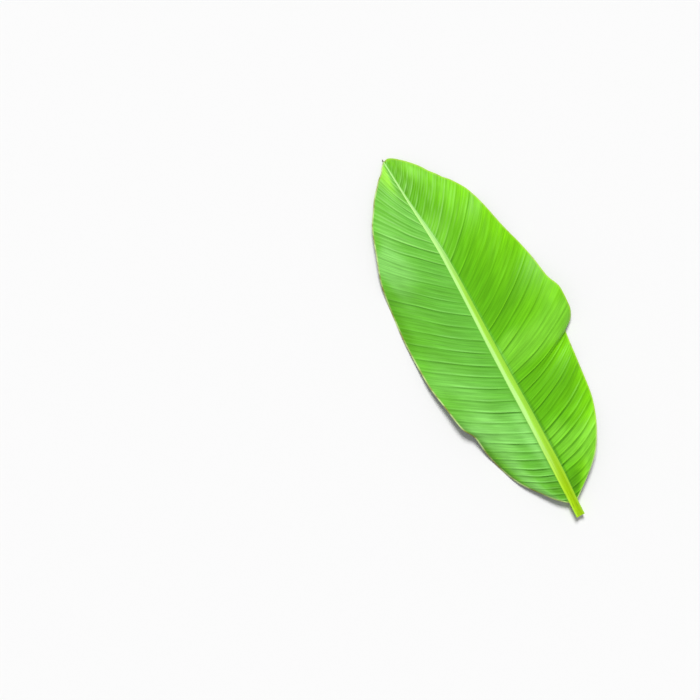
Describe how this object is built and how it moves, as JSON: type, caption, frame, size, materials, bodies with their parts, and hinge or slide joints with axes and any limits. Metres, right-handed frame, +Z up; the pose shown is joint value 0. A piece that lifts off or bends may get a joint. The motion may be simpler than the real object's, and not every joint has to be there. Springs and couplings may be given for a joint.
{
  "type": "banana leaf",
  "caption": "Freshly cut banana leaf with a short stalk, grooved rib, parallel side veins and waving margins, lying upper side up.",
  "frame": {"origin": "middle of the leaf's footprint, at the height of the surface it lies on", "axes": "+Y along the leaf from the cut end of the stalk to the tip, +X to the leaf's right half seen from above, +Z up out of its upper side"},
  "size_m": [0.2398, 0.6, 0.0223],
  "materials": {
    "leaf": "satin, waxy living leaf surface"
  },
  "bodies": {
    "root": {"banana_leaf": "leaf"}
  },
  "joints": []
}
